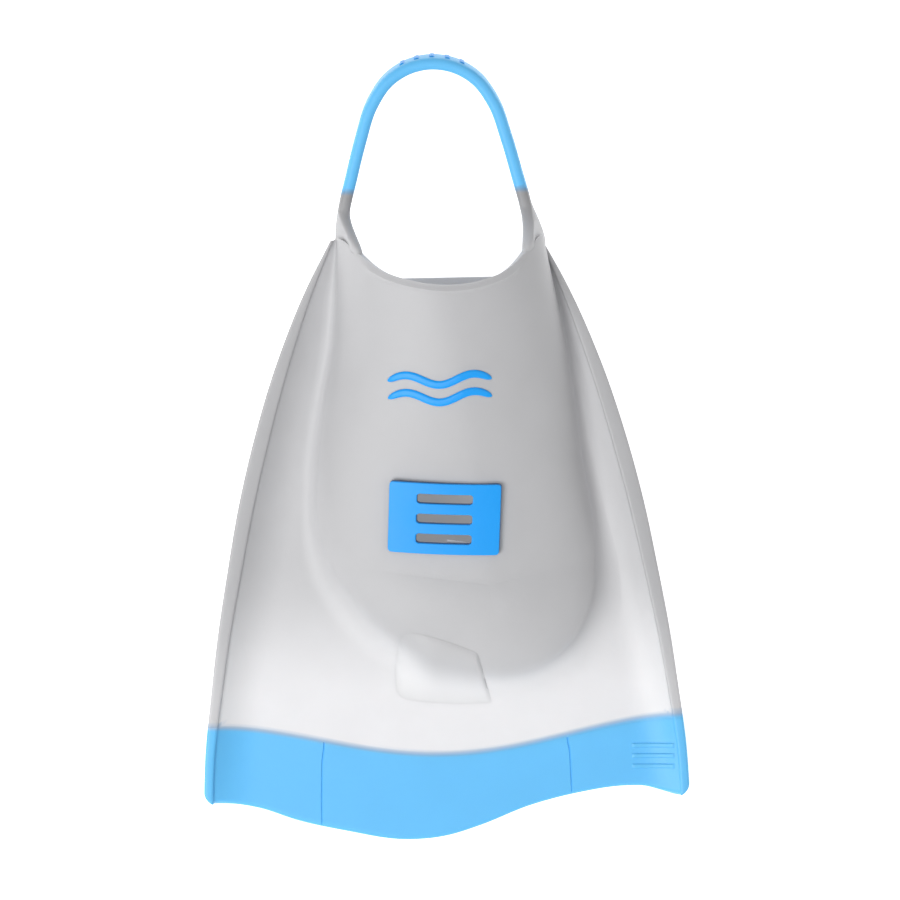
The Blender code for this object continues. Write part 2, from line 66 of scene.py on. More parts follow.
# Foot pocket and blade.
WALL = 4.0 * MM
SEAM = 0.3 * MM
EMBED = 0.5 * MM  # how far one shot reaches into the next
RIM_Z = sole_high.z + SEAM
SOLE_END_Y = sole_high.y
HEEL_FLARE = 7.5 * MM  # how far the wall reaches past the sole at the heel
LIP_Y = 76.6 * MM
SPINE_END = -62.0 * MM  # where the crest ends over the toes
SIDE_END = -50.0 * MM  # where the pocket's sides turn into its toe end
WEB_END_Y = 99.5 * MM
LIP_CURVE = (1.1, 0.95)  # how squarely the lip turns into each arm
EAR, EAR_SPAN = 9.5 * MM, 0.25  # the lip's reach up each arm, and the share of its edge that this takes
FULLNESS = {-1: 1.9, 1: 2.25}  # how squarely each side of the dome bulges
TOE_FULLNESS = 1.6
TOE_POINT = 10  # which point of the outline is the front of the toes
CREASE_ROUNDS = (5.5 * MM, 11.5 * MM)  # where the dome meets the web, at the heel and round the toes
LIP_BEAD, BEAD_PLACE, BEAD_HALF = 0.45 * MM, 2.6 * MM, 0.55 * MM
LIP_ROLL, ROLL_HALF = 0.9 * MM, 1.2 * MM
LIP_FADE = (0.14, 0.3)
DOME_STEPS, WEB_STEPS, LEG_STEPS = 34, 34, 4
SOLE_TOE_Y, SOLE_ROUND, SOLE_LIFT = -108.5 * MM, 2.4 * MM, 2.0 * MM
TREAD_PITCH, TREAD_BOW, TREAD_SPAN, TREAD_DEPTH = 7.5 * MM, 3.5 * MM, 16 * MM, 0.9 * MM

# Toe ramp: its top edge and its foot, from the little-toe end to the big-toe end, in mm.
RAMP_TOP, RAMP_FOOT = ((-21.5, -83.5), (14.0, -93.3)), ((-27.0, -121.0), (21.0, -123.0))
RAMP_BEND = 1.6

# Blade edges, flex grooves and the tip's outer corners. The blade sweeps up into each rail.
SWEEP, UNDER_SWEEP, SWEEP_POWER, SWEEP_STEP = 20.0 * MM, 13.0 * MM, 2.4, 1.5 * MM
GROOVE_X, GROOVE_HALF, GROOVE_DEPTH = 58.0 * MM, 0.45 * MM, 0.6 * MM
TIP_CORNER, TIP_ARC, RAIL_END_Y = 6.0 * MM, math.radians(68), -165.4 * MM
# The rails' grey is painted shade: they get 0.62 of the moulding's share of white, so they are darker.
RAIL_ROUND, RAIL_PAINTED_SHADE, RAIL_LAP = 1.3 * MM, 0.62, 0.7 * MM
COLOUR_Y, COLOUR_RISE, COLOUR_SPAN = -144.4 * MM, 8.3 * MM, 120 * MM

# Heel strap. Its middle line is drawn flat and then raised towards the heel.
STRAP_Y, STRAP_Z = 105.0 * MM, 47.0 * MM
STRAP_LINE = (
    (43.9, 88), (43.6, 105), (42.2, 115), (38.4, 130), (33.8, 147), (27.9, 164), (20.0, 175),
    (10.4, 180.8), (0, 182.7),
)
STRAP_THICK, STRAP_WIDTH = 5.6 * MM, 18.0 * MM
STRAP_SECTION = ((-STRAP_THICK / 2, -STRAP_WIDTH / 2), (STRAP_THICK / 2, STRAP_WIDTH / 2))
STRAP_ROUND = 0.42 * STRAP_THICK
STRAP_RISE = math.radians(14)
ARM_START_Y, ARM_END_Y = 101 * MM, 121.5 * MM
ARM_FOOT_Z, ARM_ROOT_SHARE = 36.0 * MM, 0.2  # where an arm's lower and upper edges meet the lip
ARM_SUNK, ROOT_SINK, ROOT_PROUD = 1.5 * MM, 0.02, 0.22  # the last two are shares of the wall

# Vent plate and the window under it.
VENT_CENTRE = Vector(((vent_low.x + vent_high.x) / 2, (vent_low.y + vent_high.y) / 2))
VENT_SIZE, VENT_TURN = (52.0 * MM, 33.0 * MM), math.radians(-3)
VENT_THICK, VENT_SINK = 2.3 * MM, 0.8 * MM
VENT_LEAN = Vector((0.35, 0.75)) * MM  # how far the plate's top is moved off its foot
VENT_BOW = 0.6 * MM
VENT_CORNER, SLOT_CORNER, VENT_EDGE = 1.6 * MM, 0.4 * MM, 0.35 * MM
SLOT_SIZE, SLOT_PITCH, SLOTS = (26.0 * MM, 4.5 * MM), 9.3 * MM, 3
WINDOW_SIZE = (34.0 * MM, 27.0 * MM)

# Waves on the instep, and grip bars on the band and the tip.
WAVE_CENTRE = Vector(((wave_low.x + wave_high.x) / 2, (wave_low.y + wave_high.y) / 2))
WAVE_LENGTH, WAVE_WIDTH, WAVE_HEIGHT = 48.0 * MM, 3.6 * MM, 2.4 * MM
WAVE_PITCH, WAVES, WAVE_CYCLES, MARK_THICK = 8.0 * MM, 2, 1.5, 0.9 * MM
RIB_SINK, RIB_END = 0.6 * MM, 0.86
BAR_WIDTH, BAR_THICK = 2.2 * MM, 0.6 * MM
HEEL_BARS, HEEL_BAR_PITCH, HEEL_BAR_LENGTH = 5, 6.5 * MM, 11.0 * MM
TIP_BARS, TIP_BAR_PITCH, TIP_BAR_LENGTH = 3, 5.0 * MM, 20.0 * MM
TIP_BAR_CENTRE = Vector((98.5 * MM, -146.0 * MM))

TINT_HALF = 1.9 * MM  # half the width over which white turns blue
TINT_BLEED, HALF_WIDTH = 1.2 * MM, 115 * MM


# --- Curves -------------------------------------------------------------------------------------

def smooth(at, value):
    """A smooth function that passes through the rows of value at the places in at."""
    slope = np.gradient(value, at, axis=0)

    def read(place):
        i = int(np.clip(np.searchsorted(at, place) - 1, 0, len(at) - 2))
        span = at[i + 1] - at[i]
        t = min(max((place - at[i]) / span, 0.0), 1.0)
        ease = 3 * t**2 - 2 * t**3
        bend = (t**3 - 2 * t**2 + t) * slope[i] + (t**3 - t**2) * slope[i + 1]
        return (1 - ease) * value[i] + ease * value[i + 1] + span * bend

    return read


def curve(*knots):
    table = np.array(knots, float) * MM
    return smooth(table[:, 0], table[:, 1])


def eased(low, high, value):
    t = min(max((value - low) / (high - low), 0.0), 1.0)
    return t * t * (3 - 2 * t)


# Profiles. Each knot is a place along Y, or along X for tip_edge, and the value there, in mm.
rail_top = curve((-168, 14.5), (-113, 23), (-55, 31), (2, 38.5), (60, 46), (100, 51))
rail_bottom = curve((42, 0), (54, 1.2), (66, 7), (80, 21), (92, 36), (100, 44))
web_top = curve((-185, 8.4), (-150, 10.4), (-113, 14.5), (-55, 21), (2, 27.5), (50, 34.5), (100, 46))
web_thick = curve((-185, 3.0), (-150, 3.8), (-113, 5), (100, 5))
crest_height = curve((-116, 28), (-98, 32.5), (-75, 37.5), (-40, 46), (0, 57.5), (40, 70), (77, 80))
rail_x = curve(
    (-166, 115.8), (-141, 114.3), (-113, 110.8), (-84, 106.7), (-55, 101.5), (-26, 95.8),
    (2, 88.8), (44, 75.3), (80, 59.7), (100, 48.8),
)
rail_thick = curve((-166, 4.5), (70, 4.5), (84, 3.2), (100, 1.0))
crest_x = curve((-62, 22), (0, 14), (77, 6))
tip_edge = curve(
    (-112, -165), (-97, -165.6), (-86, -167.9), (-70, -173.7), (-47, -179.4), (-20, -184.1),
    (0, -182.6), (15, -178.1), (38, -169.1), (61, -163.3), (84, -160.4), (92, -160.7),
    (100, -163), (107, -165.2), (112, -165.4),
)
POCKET_OUTLINE = (
    (-45.8, 94), (-50.2, 50), (-56.7, 16), (-60.2, -10), (-60.6, -36), (-56.5, -54), (-47, -70),
    (-34, -86), (-17, -98), (3, -107), (22, -112), (38, -110.5), (54, -103), (67, -90),
    (74, -73), (75, -52), (72.5, -32), (67.3, -2), (64, 25), (58.8, 57), (49.5, 94),
)


def path_through(points):
    table = np.array(points, float) * MM
    steps = np.linalg.norm(np.diff(table, axis=0), axis=1)
    length = np.concatenate([[0.0], np.cumsum(steps)])
    return smooth(length, table), length


pocket_loop, pocket_length = path_through(POCKET_OUTLINE)
strap_loop, strap_length = path_through([(-x, y) for x, y in STRAP_LINE] + list(STRAP_LINE[-2::-1]))


def place_at(path, low, high, y):
    """The length along a path, between low and high, where it crosses y."""
    for _ in range(40):
        middle = (low + high) / 2
        if (path(middle)[1] > y) == (path(low)[1] > y):
            low = middle
        else:
            high = middle
    return (low + high) / 2


def outline_at(y, side):
    end = pocket_length[0 if side < 0 else -1]
    return place_at(pocket_loop, end, pocket_length[TOE_POINT], y)


def colour_edge(x):
    """Y of the line where the white blade turns blue."""
    return COLOUR_Y + COLOUR_RISE * (1 - math.cos(math.pi * x / COLOUR_SPAN))


def rail_inside(y):
    return rail_x(y) - rail_thick(y)


def blade_top(x, y):
    near = min(max(1 - (rail_inside(y) - abs(x)) / SWEEP, 0), 1)
    return web_top(y) + (rail_top(y) - SWEEP_STEP - web_top(y)) * near**SWEEP_POWER


def blade_under(x, y):
    near = min(max(1 - (rail_inside(y) - abs(x)) / UNDER_SWEEP, 0), 1)
    flat = web_top(y) - web_thick(y)
    return flat - (flat - rail_bottom(y) - SWEEP_STEP) * near**SWEEP_POWER


# --- Materials ------------------------------------------------------------------------------------

def linear(*rgb):
    """An 8-bit display colour as the linear colour that a shader takes."""
    return tuple((c / 255 / 12.92 if c < 11 else ((c / 255 + 0.055) / 1.055) ** 2.4) for c in rgb) + (1.0,)


# The arm and pocket greys are painted shade: the white silicone is made darker there than on the blade,
# standing for less light coming through and back.
ARM_PAINTED_SHADE = linear(158, 158, 160)  # painted shade on the thin arms, through which little light comes back
POCKET_PAINTED_SHADE = linear(191, 191, 193)
BLADE_COLOUR = linear(236, 236, 238)
BLUE_COLOUR = linear(104, 197, 253)
DEEP_COLOUR = linear(14, 162, 251)
DEEP_PAINTED_SHADE = linear(8, 50, 92)  # painted shade on the vent plate's walls
SEAM_COLOUR = linear(60, 80, 130)  # a darker blue-grey band along the line where the two shots meet


def node(tree, kind, **values):
    made = tree.nodes.new(kind)
    for name, value in values.items():
        if hasattr(made, name):
            setattr(made, name, value)
        else:
            made.inputs[name.replace("_", " ").title()].default_value = value
    return made


def silicone(name, greys, blue, roughness, grain, scatter):
    """Silicone whose grey follows the shade attribute, which is painted shade, and which turns blue by tint.

    A weak painted glow lights the pocket's inside, standing for the light that comes through the wall into
    the pocket.
    """
    made = bpy.data.materials.new(name)
    made.use_nodes = True
    tree = made.node_tree
    shader = tree.nodes["Principled BSDF"]
    link = tree.links.new
    place = tree.nodes.new("ShaderNodeTexCoord")
    shade = node(tree, "ShaderNodeAttribute", attribute_name="shade")
    tint = node(tree, "ShaderNodeAttribute", attribute_name="tint")
    cloud = node(tree, "ShaderNodeTexNoise", Scale=38.0, Detail=3.0, Roughness=0.55)
    fine = node(tree, "ShaderNodeTexNoise", Scale=2400.0, Detail=2.0, Roughness=0.6)
    orange = node(tree, "ShaderNodeTexNoise", Scale=420.0, Detail=2.0, Roughness=0.5)
    for noise in (cloud, fine, orange):
        link(place.outputs["Object"], noise.inputs["Vector"])

    # Painted shade: the ramp turns the shade value into the arm, pocket and blade greys.
    milk = tree.nodes.new("ShaderNodeValToRGB")
    milk.color_ramp.elements.new(0.5)
    for stop, place_on, colour in zip(milk.color_ramp.elements, (0.0, 0.5, 1.0), greys):
        stop.position = place_on
        stop.color = colour
    link(shade.outputs["Fac"], milk.inputs["Fac"])
    coloured = node(tree, "ShaderNodeMix", data_type="RGBA")
    coloured.inputs[7].default_value = blue
    link(tint.outputs["Fac"], coloured.inputs["Factor"])
    link(milk.outputs["Color"], coloured.inputs[6])
    # A darker blue-grey band is mixed in halfway between white and blue.
    rest = node(tree, "ShaderNodeMath", operation="SUBTRACT")
    rest.inputs[0].default_value = 1.0
    link(tint.outputs["Fac"], rest.inputs[1])
    both = node(tree, "ShaderNodeMath", operation="MULTIPLY")
    link(tint.outputs["Fac"], both.inputs[0])
    link(rest.outputs["Value"], both.inputs[1])
    seam = node(tree, "ShaderNodeMix", data_type="RGBA")
    seam.inputs[7].default_value = SEAM_COLOUR
    link(both.outputs["Value"], seam.inputs["Factor"])
    link(coloured.outputs[2], seam.inputs[6])
    span = node(tree, "ShaderNodeMapRange")
    span.inputs["To Min"].default_value = 0.955
    span.inputs["To Max"].default_value = 1.03
    link(cloud.outputs["Fac"], span.inputs["Value"])
    worn = node(tree, "ShaderNodeHueSaturation")
    link(span.outputs["Result"], worn.inputs["Value"])
    link(seam.outputs[2], worn.inputs["Color"])
    link(worn.outputs["Color"], shader.inputs["Base Color"])
    # Painted light: points marked to glow shine faintly in their own colour.
    lit = node(tree, "ShaderNodeMix", data_type="RGBA")
    lit.inputs[6].default_value = (0, 0, 0, 1)
    link(node(tree, "ShaderNodeAttribute", attribute_name="glow").outputs["Fac"], lit.inputs["Factor"])
    link(worn.outputs["Color"], lit.inputs[7])
    link(lit.outputs[2], shader.inputs["Emission Color"])
    shader.inputs["Emission Strength"].default_value = 0.17

    sheen = node(tree, "ShaderNodeMapRange")
    sheen.inputs["To Min"].default_value = roughness - 0.07
    sheen.inputs["To Max"].default_value = roughness + 0.09
    link(cloud.outputs["Fac"], sheen.inputs["Value"])
    link(sheen.outputs["Result"], shader.inputs["Roughness"])

    rough = node(tree, "ShaderNodeBump", Strength=grain, Distance=0.00012)
    skin = node(tree, "ShaderNodeBump", Strength=0.16, Distance=0.00025)
    link(fine.outputs["Fac"], rough.inputs["Height"])
    link(orange.outputs["Fac"], skin.inputs["Height"])
    link(skin.outputs["Normal"], rough.inputs["Normal"])
    link(rough.outputs["Normal"], shader.inputs["Normal"])

    shader.inputs["Subsurface Weight"].default_value = scatter
    shader.inputs["Subsurface Radius"].default_value = (1.0, 0.95, 0.95)
    shader.inputs["Subsurface Scale"].default_value = 0.004
    shader.inputs["Specular IOR Level"].default_value = 0.42
    return made


# Painted shade: the white and blue silicone take the arm, pocket and blade greys by place.
GREYS = (ARM_PAINTED_SHADE, POCKET_PAINTED_SHADE, BLADE_COLOUR)
WHITE = silicone("silicone_white_milky", GREYS, BLUE_COLOUR, 0.46, 0.22, 0.3)
BLUE = silicone("silicone_blue_satin", GREYS, BLUE_COLOUR, 0.44, 0.25, 0.1)
# The deep blue takes the painted wall shade wherever its tint falls below 1.
DEEP = silicone("silicone_deep_blue_satin", (DEEP_PAINTED_SHADE,) * 3, DEEP_COLOUR, 0.4, 0.3, 0.05)


# --- Building -------------------------------------------------------------------------------------

def blade_tint(p):
    """How blue the blade is at a point: 0 in the white, 1 in the blue."""
    bleed = TINT_BLEED * (1 + p.x / HALF_WIDTH)  # the blue runs further on the big-toe side
    return eased(TINT_HALF, -TINT_HALF, p.y - colour_edge(p.x) - bleed)


def strap_tint(p):
    return eased(-TINT_HALF, TINT_HALF, p.y - ARM_END_Y)


def painted_shade_at(p):
    """Painted shade: how light the silicone's grey is, 0 on the arms, 0.5 round the pocket and 1 on the
    blade, darker on the dome above the web, standing for how much light comes through.
    """
    above_web = eased(2 * MM, 12 * MM, p.z - blade_top(p.x, p.y))
    blade = (0.14 + 0.36 * eased(-50 * MM, -119 * MM, p.y)) * (1 - 0.85 * above_web)
    return 0.5 * eased(120 * MM, 94 * MM, p.y) + blade * eased(105 * MM, 95 * MM, p.y)


def piece(name, points, faces, look, nodes, tint=None, sharp=40, glow=(), milk_share=1.0):
    """One closed piece that stands for some CAD nodes. The points listed for the painted glow are its points
    inside the pocket.
    """
    mesh = bpy.data.meshes.new(name)
    mesh.from_pydata([tuple(p) for p in points], [], faces)
    shape = bmesh.new()
    shape.from_mesh(mesh)
    shape.verts.ensure_lookup_table()
    # Painted light: the listed points inside the pocket are marked to glow.
    inner = shape.verts.layers.float.new("glow")
    for i in glow:
        shape.verts[i][inner] = 1.0
    bmesh.ops.remove_doubles(shape, verts=shape.verts[:], dist=0.005 * MM)
    bmesh.ops.dissolve_degenerate(shape, edges=shape.edges[:], dist=0.002 * MM)
    bmesh.ops.recalc_face_normals(shape, faces=shape.faces[:])
    if shape.calc_volume(signed=True) < 0:
        bmesh.ops.reverse_faces(shape, faces=shape.faces[:])
    shape.to_mesh(mesh)
    shape.free()
    mesh.shade_smooth()
    mesh.set_sharp_from_angle(angle=math.radians(sharp))
    mesh.materials.append(look)
    blue = mesh.attributes.new("tint", "FLOAT", "POINT")
    # Painted shade: the shade attribute sets the silicone's grey by place.
    milk = mesh.attributes.new("shade", "FLOAT", "POINT")
    for i, v in enumerate(mesh.vertices):
        blue.data[i].value = tint(v.co) if tint else float(look is DEEP)
        milk.data[i].value = painted_shade_at(v.co) * milk_share
    made = bpy.data.objects.new(name, mesh)
    bpy.context.scene.collection.objects.link(made)
    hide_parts(*nodes)
    return made


def sheet_faces(rows, columns, skip=()):
    """Faces of the closed solid between two grids; the cells in skip are open right through."""
    back = rows * columns
    faces, edges = [], set()
    for i in range(rows - 1):
        for j in range(columns - 1):
            if (i, j) in skip:
                continue
            corner = i * columns + j
            loop = [corner, corner + columns, corner + columns + 1, corner + 1]
            faces.append(loop)
            faces.append([back + v for v in reversed(loop)])
            edges.update(zip(loop, loop[1:] + loop[:1]))
    walls = [(b, a, back + a, back + b) for a, b in sorted(edges) if (b, a) not in edges]
    return faces + walls


def sheet(name, front, back, look, nodes, skip=(), **more):
    points = [p for row in front for p in row] + [p for row in back for p in row]
    return piece(name, points, sheet_faces(len(front), len(front[0]), skip), look, nodes, **more)


def tube(name, sections, look, nodes, **more):
    """A closed piece through equal closed loops, with a face over each end."""
    count = len(sections[0])
    faces = []
    for i in range(len(sections) - 1):
        for j in range(count):
            after = (j + 1) % count
            low, high = i * count, (i + 1) * count
            faces.append((low + j, low + after, high + after, high + j))
    faces.append(tuple(range(count)))
    faces.append(tuple((len(sections) - 1) * count + j for j in reversed(range(count))))
    return piece(name, [p for section in sections for p in section], faces, look, nodes, **more)


def rounded_box(low, high, radius, steps=4):
    """The (across, up) points of a rectangle with rounded corners, going round once."""
    points = []
    centres = ((high[0], high[1], 0), (low[0], high[1], 1), (low[0], low[1], 2), (high[0], low[1], 3))
    for x, y, quarter in centres:
        middle_x = x - radius if quarter in (0, 3) else x + radius
        middle_y = y - radius if quarter in (0, 1) else y + radius
        for k in range(steps + 1):
            angle = math.pi / 2 * (quarter + k / steps)
            points.append((middle_x + radius * math.cos(angle), middle_y + radius * math.sin(angle)))
    return points


def surface_of(item):
    """The height and the normal of the top of a piece at (x, y)."""
    shape = bmesh.new()
    shape.from_mesh(item.data)
    tree = BVHTree.FromBMesh(shape)
    shape.free()

    def read(x, y):
        hit, normal, _, _ = tree.ray_cast(Vector((x, y, 1)), Vector((0, 0, -1)))
        return hit, normal

    return read


def finish_on(item, *bodies, start=None, end=None):
    """The piece rides on one body; across two, its transform is baked into its mesh."""
    if len(bodies) == 1:
        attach(item, bodies[0])
    else:
        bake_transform(item)


# Where a piece that crosses a joint would start and stop bending.
POCKET_TO_BLADE = {"start": (0, -0.111, 0.0114), "end": (0, -0.1275, 0.0114)}
BLADE_TO_TIP = {"start": (0, -0.145, 0.0096), "end": (0, -0.165, 0.0096)}
POCKET_TO_ARMS = {"start": (0, 0.098, 0.0433), "end": (0, 0.119, 0.0487)}
ARMS_TO_BAND = {"start": (0, 0.1225, 0.0515), "end": (0, 0.150, 0.058)}


# --- The white moulding ----------------------------------------------------------------------------

def crest_point(y):
    return Vector((crest_x(y), y, crest_height(y)))


def edge_corner(side):
    """Where the colour line meets a rail."""
    x = side * rail_inside(blade_low.y)
    for _ in range(8):
        x = side * rail_inside(colour_edge(x))
    return x


def stations(side, sides=64, toes=64):
    """Places round one side, from the heel to the front of the toes.

    Each has the sole's rim, the pocket's wall, the crest, the web's far edge, the wall's fullness, and
    how far the wall and the ear under the strap's arm reach past the rim.
    """
    places = []
    for k in range(sides):
        t = (k / sides) ** 1.3
        y = SOLE_END_Y + (SIDE_END - SOLE_END_Y) * t
        base = Vector(pocket_loop(outline_at(y, side)))
        flared = y + HEEL_FLARE * (1 - t) ** 2
        ear = EAR * max(1 - 3.5 * t, 0) ** 2
        wall = Vector(pocket_loop(outline_at(flared, side)))
        far_y = min(flared + ear, WEB_END_Y)
        far = Vector((side * (rail_inside(far_y) + EMBED), far_y))
        crest = crest_point(LIP_Y + (SPINE_END - LIP_Y) * t)
        places.append((base, wall, crest, far, FULLNESS[side], flared - y, ear))
    turn = outline_at(SIDE_END, side)
    corner = edge_corner(side)
    front_x = POCKET_OUTLINE[TOE_POINT][0] * MM
    for k in range(toes + 1):
        share = k / toes
        wall = Vector(pocket_loop(turn + (pocket_length[TOE_POINT] - turn) * share))
        if share < 0.5:
            y = SIDE_END + (colour_edge(corner) - SIDE_END) * 2 * share
            far = Vector((side * (rail_inside(y) + EMBED), y))
        else:
            x = corner + side * EMBED + (front_x - corner - side * EMBED) * (2 * share - 1)
            far = Vector((x, colour_edge(x)))
        fullness = FULLNESS[side] + (TOE_FULLNESS - FULLNESS[side]) * eased(0, 1, share)
        places.append((wall, wall, crest_point(SPINE_END), far, fullness, 0.0, 0.0))
    return places


def dome(station, steps, inner):
    """The pocket from its crest down to its wall, outside or inside."""
    base, wall, top, _, fullness, flare, ear = station
    lip_curve = LIP_CURVE[0 if wall.x < 0 else 1]
    foot = blade_top(wall.x, wall.y + ear)
    if inner:
        inward = (top.xy - wall).normalized() * WALL
        base, wall, top = base + inward, wall + inward, top - Vector((0, 0, WALL))
    points = []
    for k in range(steps + 1):
        angle = math.pi / 2 * (1 - k / steps)
        inward = 1 - max(math.cos(angle), 0.0) ** (2 / fullness)
        upward = math.sin(angle) ** (2 / fullness)
        rounded = math.sin(math.pi / 2 * min(inward, 1.0) ** lip_curve)
        forward = inward + (rounded - inward) * flare / HEEL_FLARE
        x = wall.x + (top.x - wall.x) * inward
        y = wall.y + (top.y - wall.y) * forward + ear * math.exp(-((inward / EAR_SPAN) ** 2))
        points.append(Vector((x, y, foot + (top.z - foot) * upward)))
    return points


def fillet(chain, corner, radius):
    """Rounds a chain of points where it turns at the corner."""
    lengths = [0.0]
    for a, b in zip(chain, chain[1:]):
        lengths.append(lengths[-1] + (b - a).length)
    middle = lengths[corner]
    radius = min(radius, 0.45 * (lengths[-1] - middle), 0.45 * middle)

    def at(length):
        i = min(max(int(np.searchsorted(lengths, length)) - 1, 0), len(chain) - 2)
        span = max(lengths[i + 1] - lengths[i], 1e-9)
        return chain[i].lerp(chain[i + 1], (length - lengths[i]) / span)

    start, end, turn = at(middle - radius), at(middle + radius), chain[corner]
    done = []
    for point, length in zip(chain, lengths):
        t = (length - middle + radius) / (2 * radius)
        if 0 < t < 1:
            point = start * (1 - t) ** 2 + turn * 2 * t * (1 - t) + end * t**2
        done.append(point)
    return done


def lip_shape(outer, top, lip_distance):
    """The lip's rolled edge and the fine bead just inside it, which both fade out towards the arms."""
    bead = LIP_BEAD * math.exp(-(((lip_distance - BEAD_PLACE) / BEAD_HALF) ** 2))
    roll = LIP_ROLL * math.exp(-((lip_distance / ROLL_HALF) ** 2))
    foot = outer[-1]
    middle = Vector((top.x, (foot.y + top.y) / 2, foot.z))
    shaped = []
    for p in outer:
        fade = eased(*LIP_FADE, (p.x - foot.x) / (top.x - foot.x))
        shaped.append(p + (p - middle).normalized() * (bead - roll) * fade)
    return shaped


def section(station, lip_distance):
    """One closed half section of the moulding: over the top to the far edge, and back underneath."""
    base, wall, top, far = station[:4]
    outer = dome(station, DOME_STEPS, False)
    inner = dome(station, DOME_STEPS, True)
    wall = outer[-1].xy
    if lip_distance < 10 * MM:
        outer = lip_shape(outer, top, lip_distance)
    web = []
    for k in range(1, WEB_STEPS + 1):
        p = wall.lerp(far, k / WEB_STEPS)
        web.append(Vector((*p, blade_top(*p))))
    heel_round, toe_round = CREASE_ROUNDS
    radius = heel_round + (toe_round - heel_round) * eased(-20 * MM, -85 * MM, wall.y)
    upper = fillet(outer + web, DOME_STEPS, radius)
    under = []
    for k in range(WEB_STEPS, -1, -1):
        p = wall.lerp(far, k / WEB_STEPS)
        under.append(Vector((*p, blade_under(*p))))
    leg_top = under[-1].z
    inner_base = base + (top.xy - station[1]).normalized() * WALL
    inner_wall = inner[-1].xy
    leg = [Vector((*wall.lerp(base, k / LEG_STEPS), leg_top + (RIM_Z - leg_top) * k / LEG_STEPS))
           for k in range(1, LEG_STEPS + 1)]
    foot = inner[-1].z
    rise = [Vector((*inner_base.lerp(inner_wall, k / LEG_STEPS), RIM_Z + (foot - RIM_Z) * k / LEG_STEPS))
            for k in range(LEG_STEPS)]
    return upper + under + leg + rise + inner[::-1]


def in_window(p):
    """True over the opening in the upper that the vent plate covers."""
    local = Matrix.Rotation(-VENT_TURN, 2) @ (p.xy - VENT_CENTRE)
    return abs(local.x) < WINDOW_SIZE[0] / 2 and abs(local.y) < WINDOW_SIZE[1] / 2


def moulding():
    """Foot pocket, web and blade in one closed piece."""
    around = stations(-1) + stations(1)[-2::-1]
    chains = []
    for station in around:
        lip_distance = LIP_Y - station[2].y if station[2].y > SPINE_END else 1.0
        chains.append(section(station, lip_distance))
    count, size = len(chains), len(chains[0])
    points = [p for chain in chains for p in chain]

    # Both sides share the points along the crest.
    crest, index = {}, []
    for i, station in enumerate(around):
        for j in range(size):
            corner = i * size + j
            if j in (0, size - 1):
                corner = crest.setdefault((round(station[2].y, 7), j), corner)
            index.append(corner)
    cells, holes = [], []
    for i in range(count - 1):
        for j in range(size - 1):
            corner = i * size + j
            loop = [index[c] for c in (corner, corner + 1, corner + size + 1, corner + size)]
            loop = [v for k, v in enumerate(loop) if v != loop[k - 1]]
            mirror = size - 2 - j
            low = min(j, mirror)
            outer_corner = i * size + low
            open_here = low < DOME_STEPS and all(
                in_window(points[outer_corner + c]) for c in (0, 1, size, size + 1)
            )
            if not open_here:
                cells.append(loop)
            elif j < mirror:
                holes.append(loop)
    edges = {edge for loop in holes for edge in zip(loop, loop[1:] + loop[:1])}

    def inside(v):
        i, j = divmod(v, size)
        return index[i * size + size - 1 - j]

    for a, b in sorted(edges):
        if (b, a) not in edges:
            cells.append([a, b, inside(b), inside(a)])
    for end in (0, (count - 1) * size):
        for j in range(DOME_STEPS):
            cells.append([index[end + c] for c in (j, j + 1, size - 2 - j, size - 1 - j)])
        cells.append([end + j for j in range(DOME_STEPS, size - DOME_STEPS)])
    used = sorted({v for loop in cells for v in loop})
    lined = size - DOME_STEPS - LEG_STEPS  # the pocket's inner surface runs from here to the end
    place = {v: k for k, v in enumerate(used)}
    # Painted light: the pocket's inner surface is marked to glow faintly.
    return piece(
        "moulding_white", [points[v] for v in used], [[place[v] for v in loop] for loop in cells], WHITE,
        ("pocket_upper", "web_left", "web_right", "blade_panel"), tint=blade_tint,
        glow=[k for k, v in enumerate(used) if v % size >= lined],
    )


def toe_ramp(surface):
    """The raised ramp that runs from the toes down onto the blade. Its big-toe side is a short cliff.

    Each place on it has a share u across it and a share v down it.
    """
    rows = 36
    across = [k / 26 for k in range(27)] + [1.02, 1.05]
    (left, left_y), (right, right_y) = RAMP_TOP
    front = []
    for i in range(rows + 1):
        row = []
        for u in across:
            top = Vector((left + (right - left) * u, left_y + (right_y - left_y) * u**RAMP_BEND)) * MM
            foot = Vector(RAMP_FOOT[0]).lerp(Vector(RAMP_FOOT[1]), u) * MM
            v = i / rows
            p = top.lerp(foot, v)
            skin_z = surface(*p)[0].z
            high, low = surface(*top)[0].z, surface(*foot)[0].z
            z = low + (high - low) * (1 - v) ** 2 * (1 + 2 * v)
            shown = eased(0, 0.5, u) * eased(1.06, 1.0, u)
            row.append(Vector((*p, skin_z - 0.06 * MM + (z - skin_z) * shown)))
        front.append(row)
    back = []
    for row in front:
        back.append([Vector((p.x, p.y, min(p.z, surface(p.x, p.y)[0].z) - 1.5 * MM)) for p in row])
    return sheet("toe_ramp", front, back, WHITE, (), sharp=60)


# --- Sole --------------------------------------------------------------------------------------------

